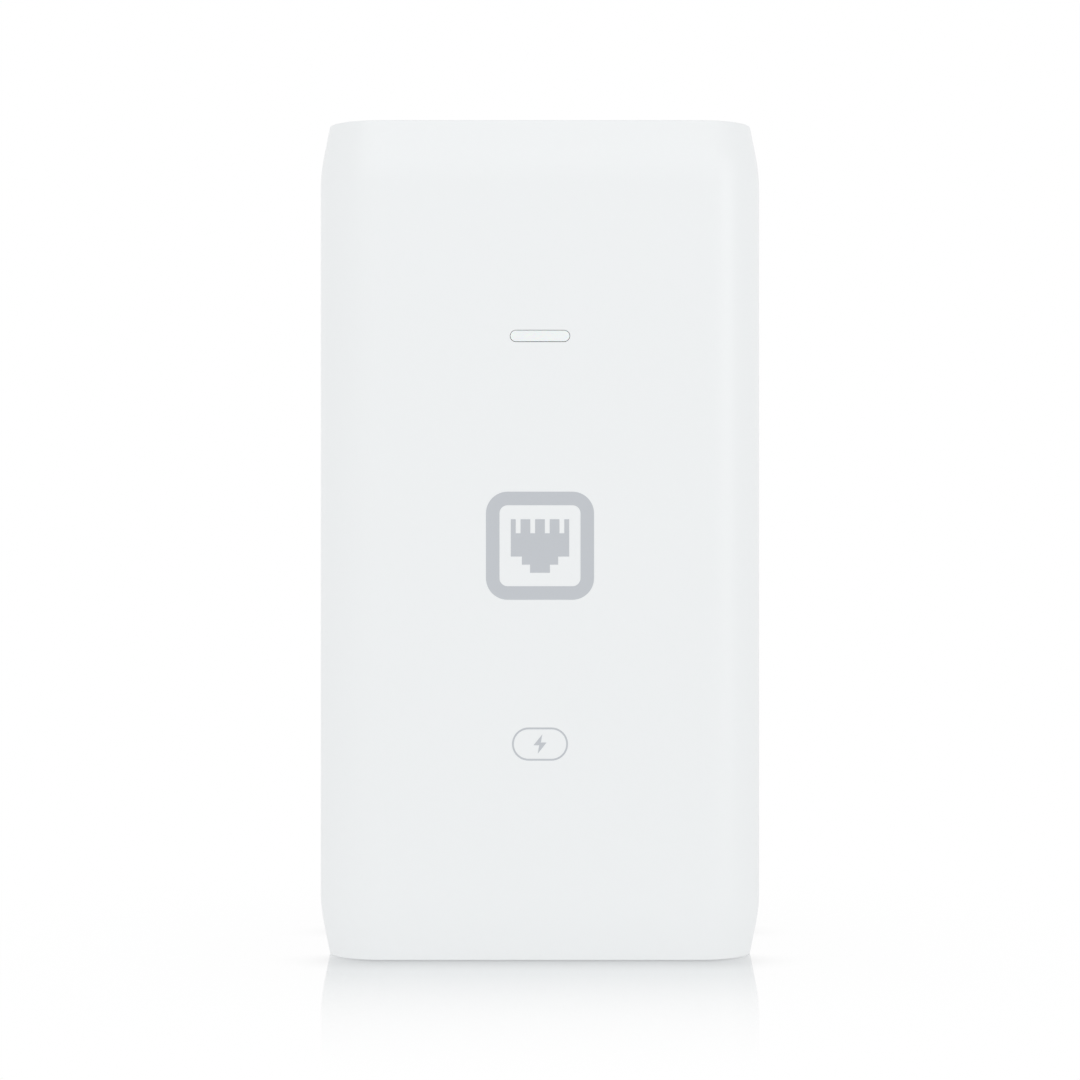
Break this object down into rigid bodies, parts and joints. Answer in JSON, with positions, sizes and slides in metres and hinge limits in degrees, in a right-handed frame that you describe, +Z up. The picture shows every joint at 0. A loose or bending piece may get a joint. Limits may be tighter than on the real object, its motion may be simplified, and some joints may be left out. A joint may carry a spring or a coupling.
{
  "type": "power over ethernet injector",
  "caption": "Upright rounded white plastic box with a status light, network jacks in its top end, a mains inlet underneath, a power supply inside and a slide-on wall bracket.",
  "frame": {"origin": "under the middle of the case, on the surface it stands on: the middle of the overall box's bottom face", "axes": "+Z up the case, from the mains end to the jack end; +Y from the front face to the back; +X to the right seen from the front"},
  "size_m": [0.0744, 0.04, 0.14],
  "materials": {
    "white_plastic": "fine satin, moulded",
    "white_matte_plastic": "matt, moulded",
    "light_pipe": "frosted, lets light through",
    "black_plastic": "matt",
    "grey_plastic": "matt",
    "gold": "thin gold plating on a copper alloy",
    "nickel_steel": "nickel plated",
    "zinc_steel": "zinc plated",
    "aluminium": "as rolled",
    "green_board": "green solder mask over glass-fibre board",
    "ferrite": "sintered, dull",
    "copper_wire": "enamelled copper wire",
    "yellow_tape": "polyester tape",
    "yellow_film": "moulded box",
    "blue_disc": "dipped epoxy over ceramic",
    "green_disc": "dipped coating over ceramic",
    "thermal_pad": "soft silicone",
    "clear_sheet": "fish-paper insulation",
    "brown_wire": "soft insulation",
    "blue_wire": "soft insulation",
    "green_wire": "soft insulation"
  },
  "bodies": {
    "casing": {"front_housing": "white_plastic", "rear_cover": "white_plastic", "port_end_panel": "white_matte_plastic", "inlet_end_panel": "white_matte_plastic", "status_light_pipe": "light_pipe", "case_screw_1": "zinc_steel", "case_screw_2": "zinc_steel", "case_screw_3": "zinc_steel", "case_screw_4": "zinc_steel", "board_screw_1": "zinc_steel", "board_screw_2": "zinc_steel", "power_board": "green_board", "insulation_sheet": "clear_sheet", "heat_spreader": "aluminium", "thermal_pad": "thermal_pad", "inlet_body": "black_plastic", "inlet_pin_live": "nickel_steel", "inlet_pin_neutral": "nickel_steel", "inlet_pin_earth": "nickel_steel", "live_wire": "brown_wire", "neutral_wire": "blue_wire", "earth_wire": "green_wire", "fuse": "nickel_steel", "varistor": "blue_disc", "thermistor": "green_disc", "x_capacitor": "yellow_film", "choke_core": "ferrite", "choke_winding_left": "copper_wire", "choke_winding_right": "copper_wire", "bridge_rectifier": "black_plastic", "bulk_capacitor": "black_plastic", "transformer_core": "ferrite", "transformer_bobbin": "grey_plastic", "transformer_winding": "yellow_tape", "y_capacitor": "blue_disc", "power_transistor": "black_plastic", "transistor_screw": "zinc_steel", "primary_heatsink": "aluminium", "output_diode": "black_plastic", "diode_screw": "zinc_steel", "secondary_heatsink": "aluminium", "output_capacitor_1": "black_plastic", "output_capacitor_2": "black_plastic", "output_inductor": "ferrite", "inductor_winding": "copper_wire", "optocoupler": "black_plastic", "power_control_chip": "black_plastic", "power_port_chip": "black_plastic", "status_led": "yellow_tape", "poe_magnetics": "black_plastic", "lan_magnetics": "black_plastic", "poe_jack_housing": "black_plastic", "poe_jack_shield": "nickel_steel", "lan_jack_housing": "black_plastic", "lan_jack_shield": "nickel_steel"},
    "wall_bracket": {"wall_bracket": "white_matte_plastic"},
    "bracket_latch": {"bracket_latch": "white_matte_plastic"},
    "poe_contacts": {"poe_jack_contacts": "gold"},
    "lan_contacts": {"lan_jack_contacts": "gold"}
  },
  "joints": [
    {"name": "bracket_slide", "type": "slide", "parent": "casing", "child": "wall_bracket", "axis": [0, 0, -1], "range_m": [0, 0.012]},
    {"name": "latch_flex", "type": "hinge", "parent": "wall_bracket", "child": "bracket_latch", "pos_m": [0, 0.01855, 0.0747], "axis": [1, 0, 0], "range_deg": [0, 4]},
    {"name": "poe_contacts_flex", "type": "hinge", "parent": "casing", "child": "poe_contacts", "pos_m": [-0.009, 0.0083, 0.1364], "axis": [1, 0, 0], "range_deg": [0, 9]},
    {"name": "lan_contacts_flex", "type": "hinge", "parent": "casing", "child": "lan_contacts", "pos_m": [0.009, 0.0083, 0.1364], "axis": [1, 0, 0], "range_deg": [0, 9]}
  ]
}
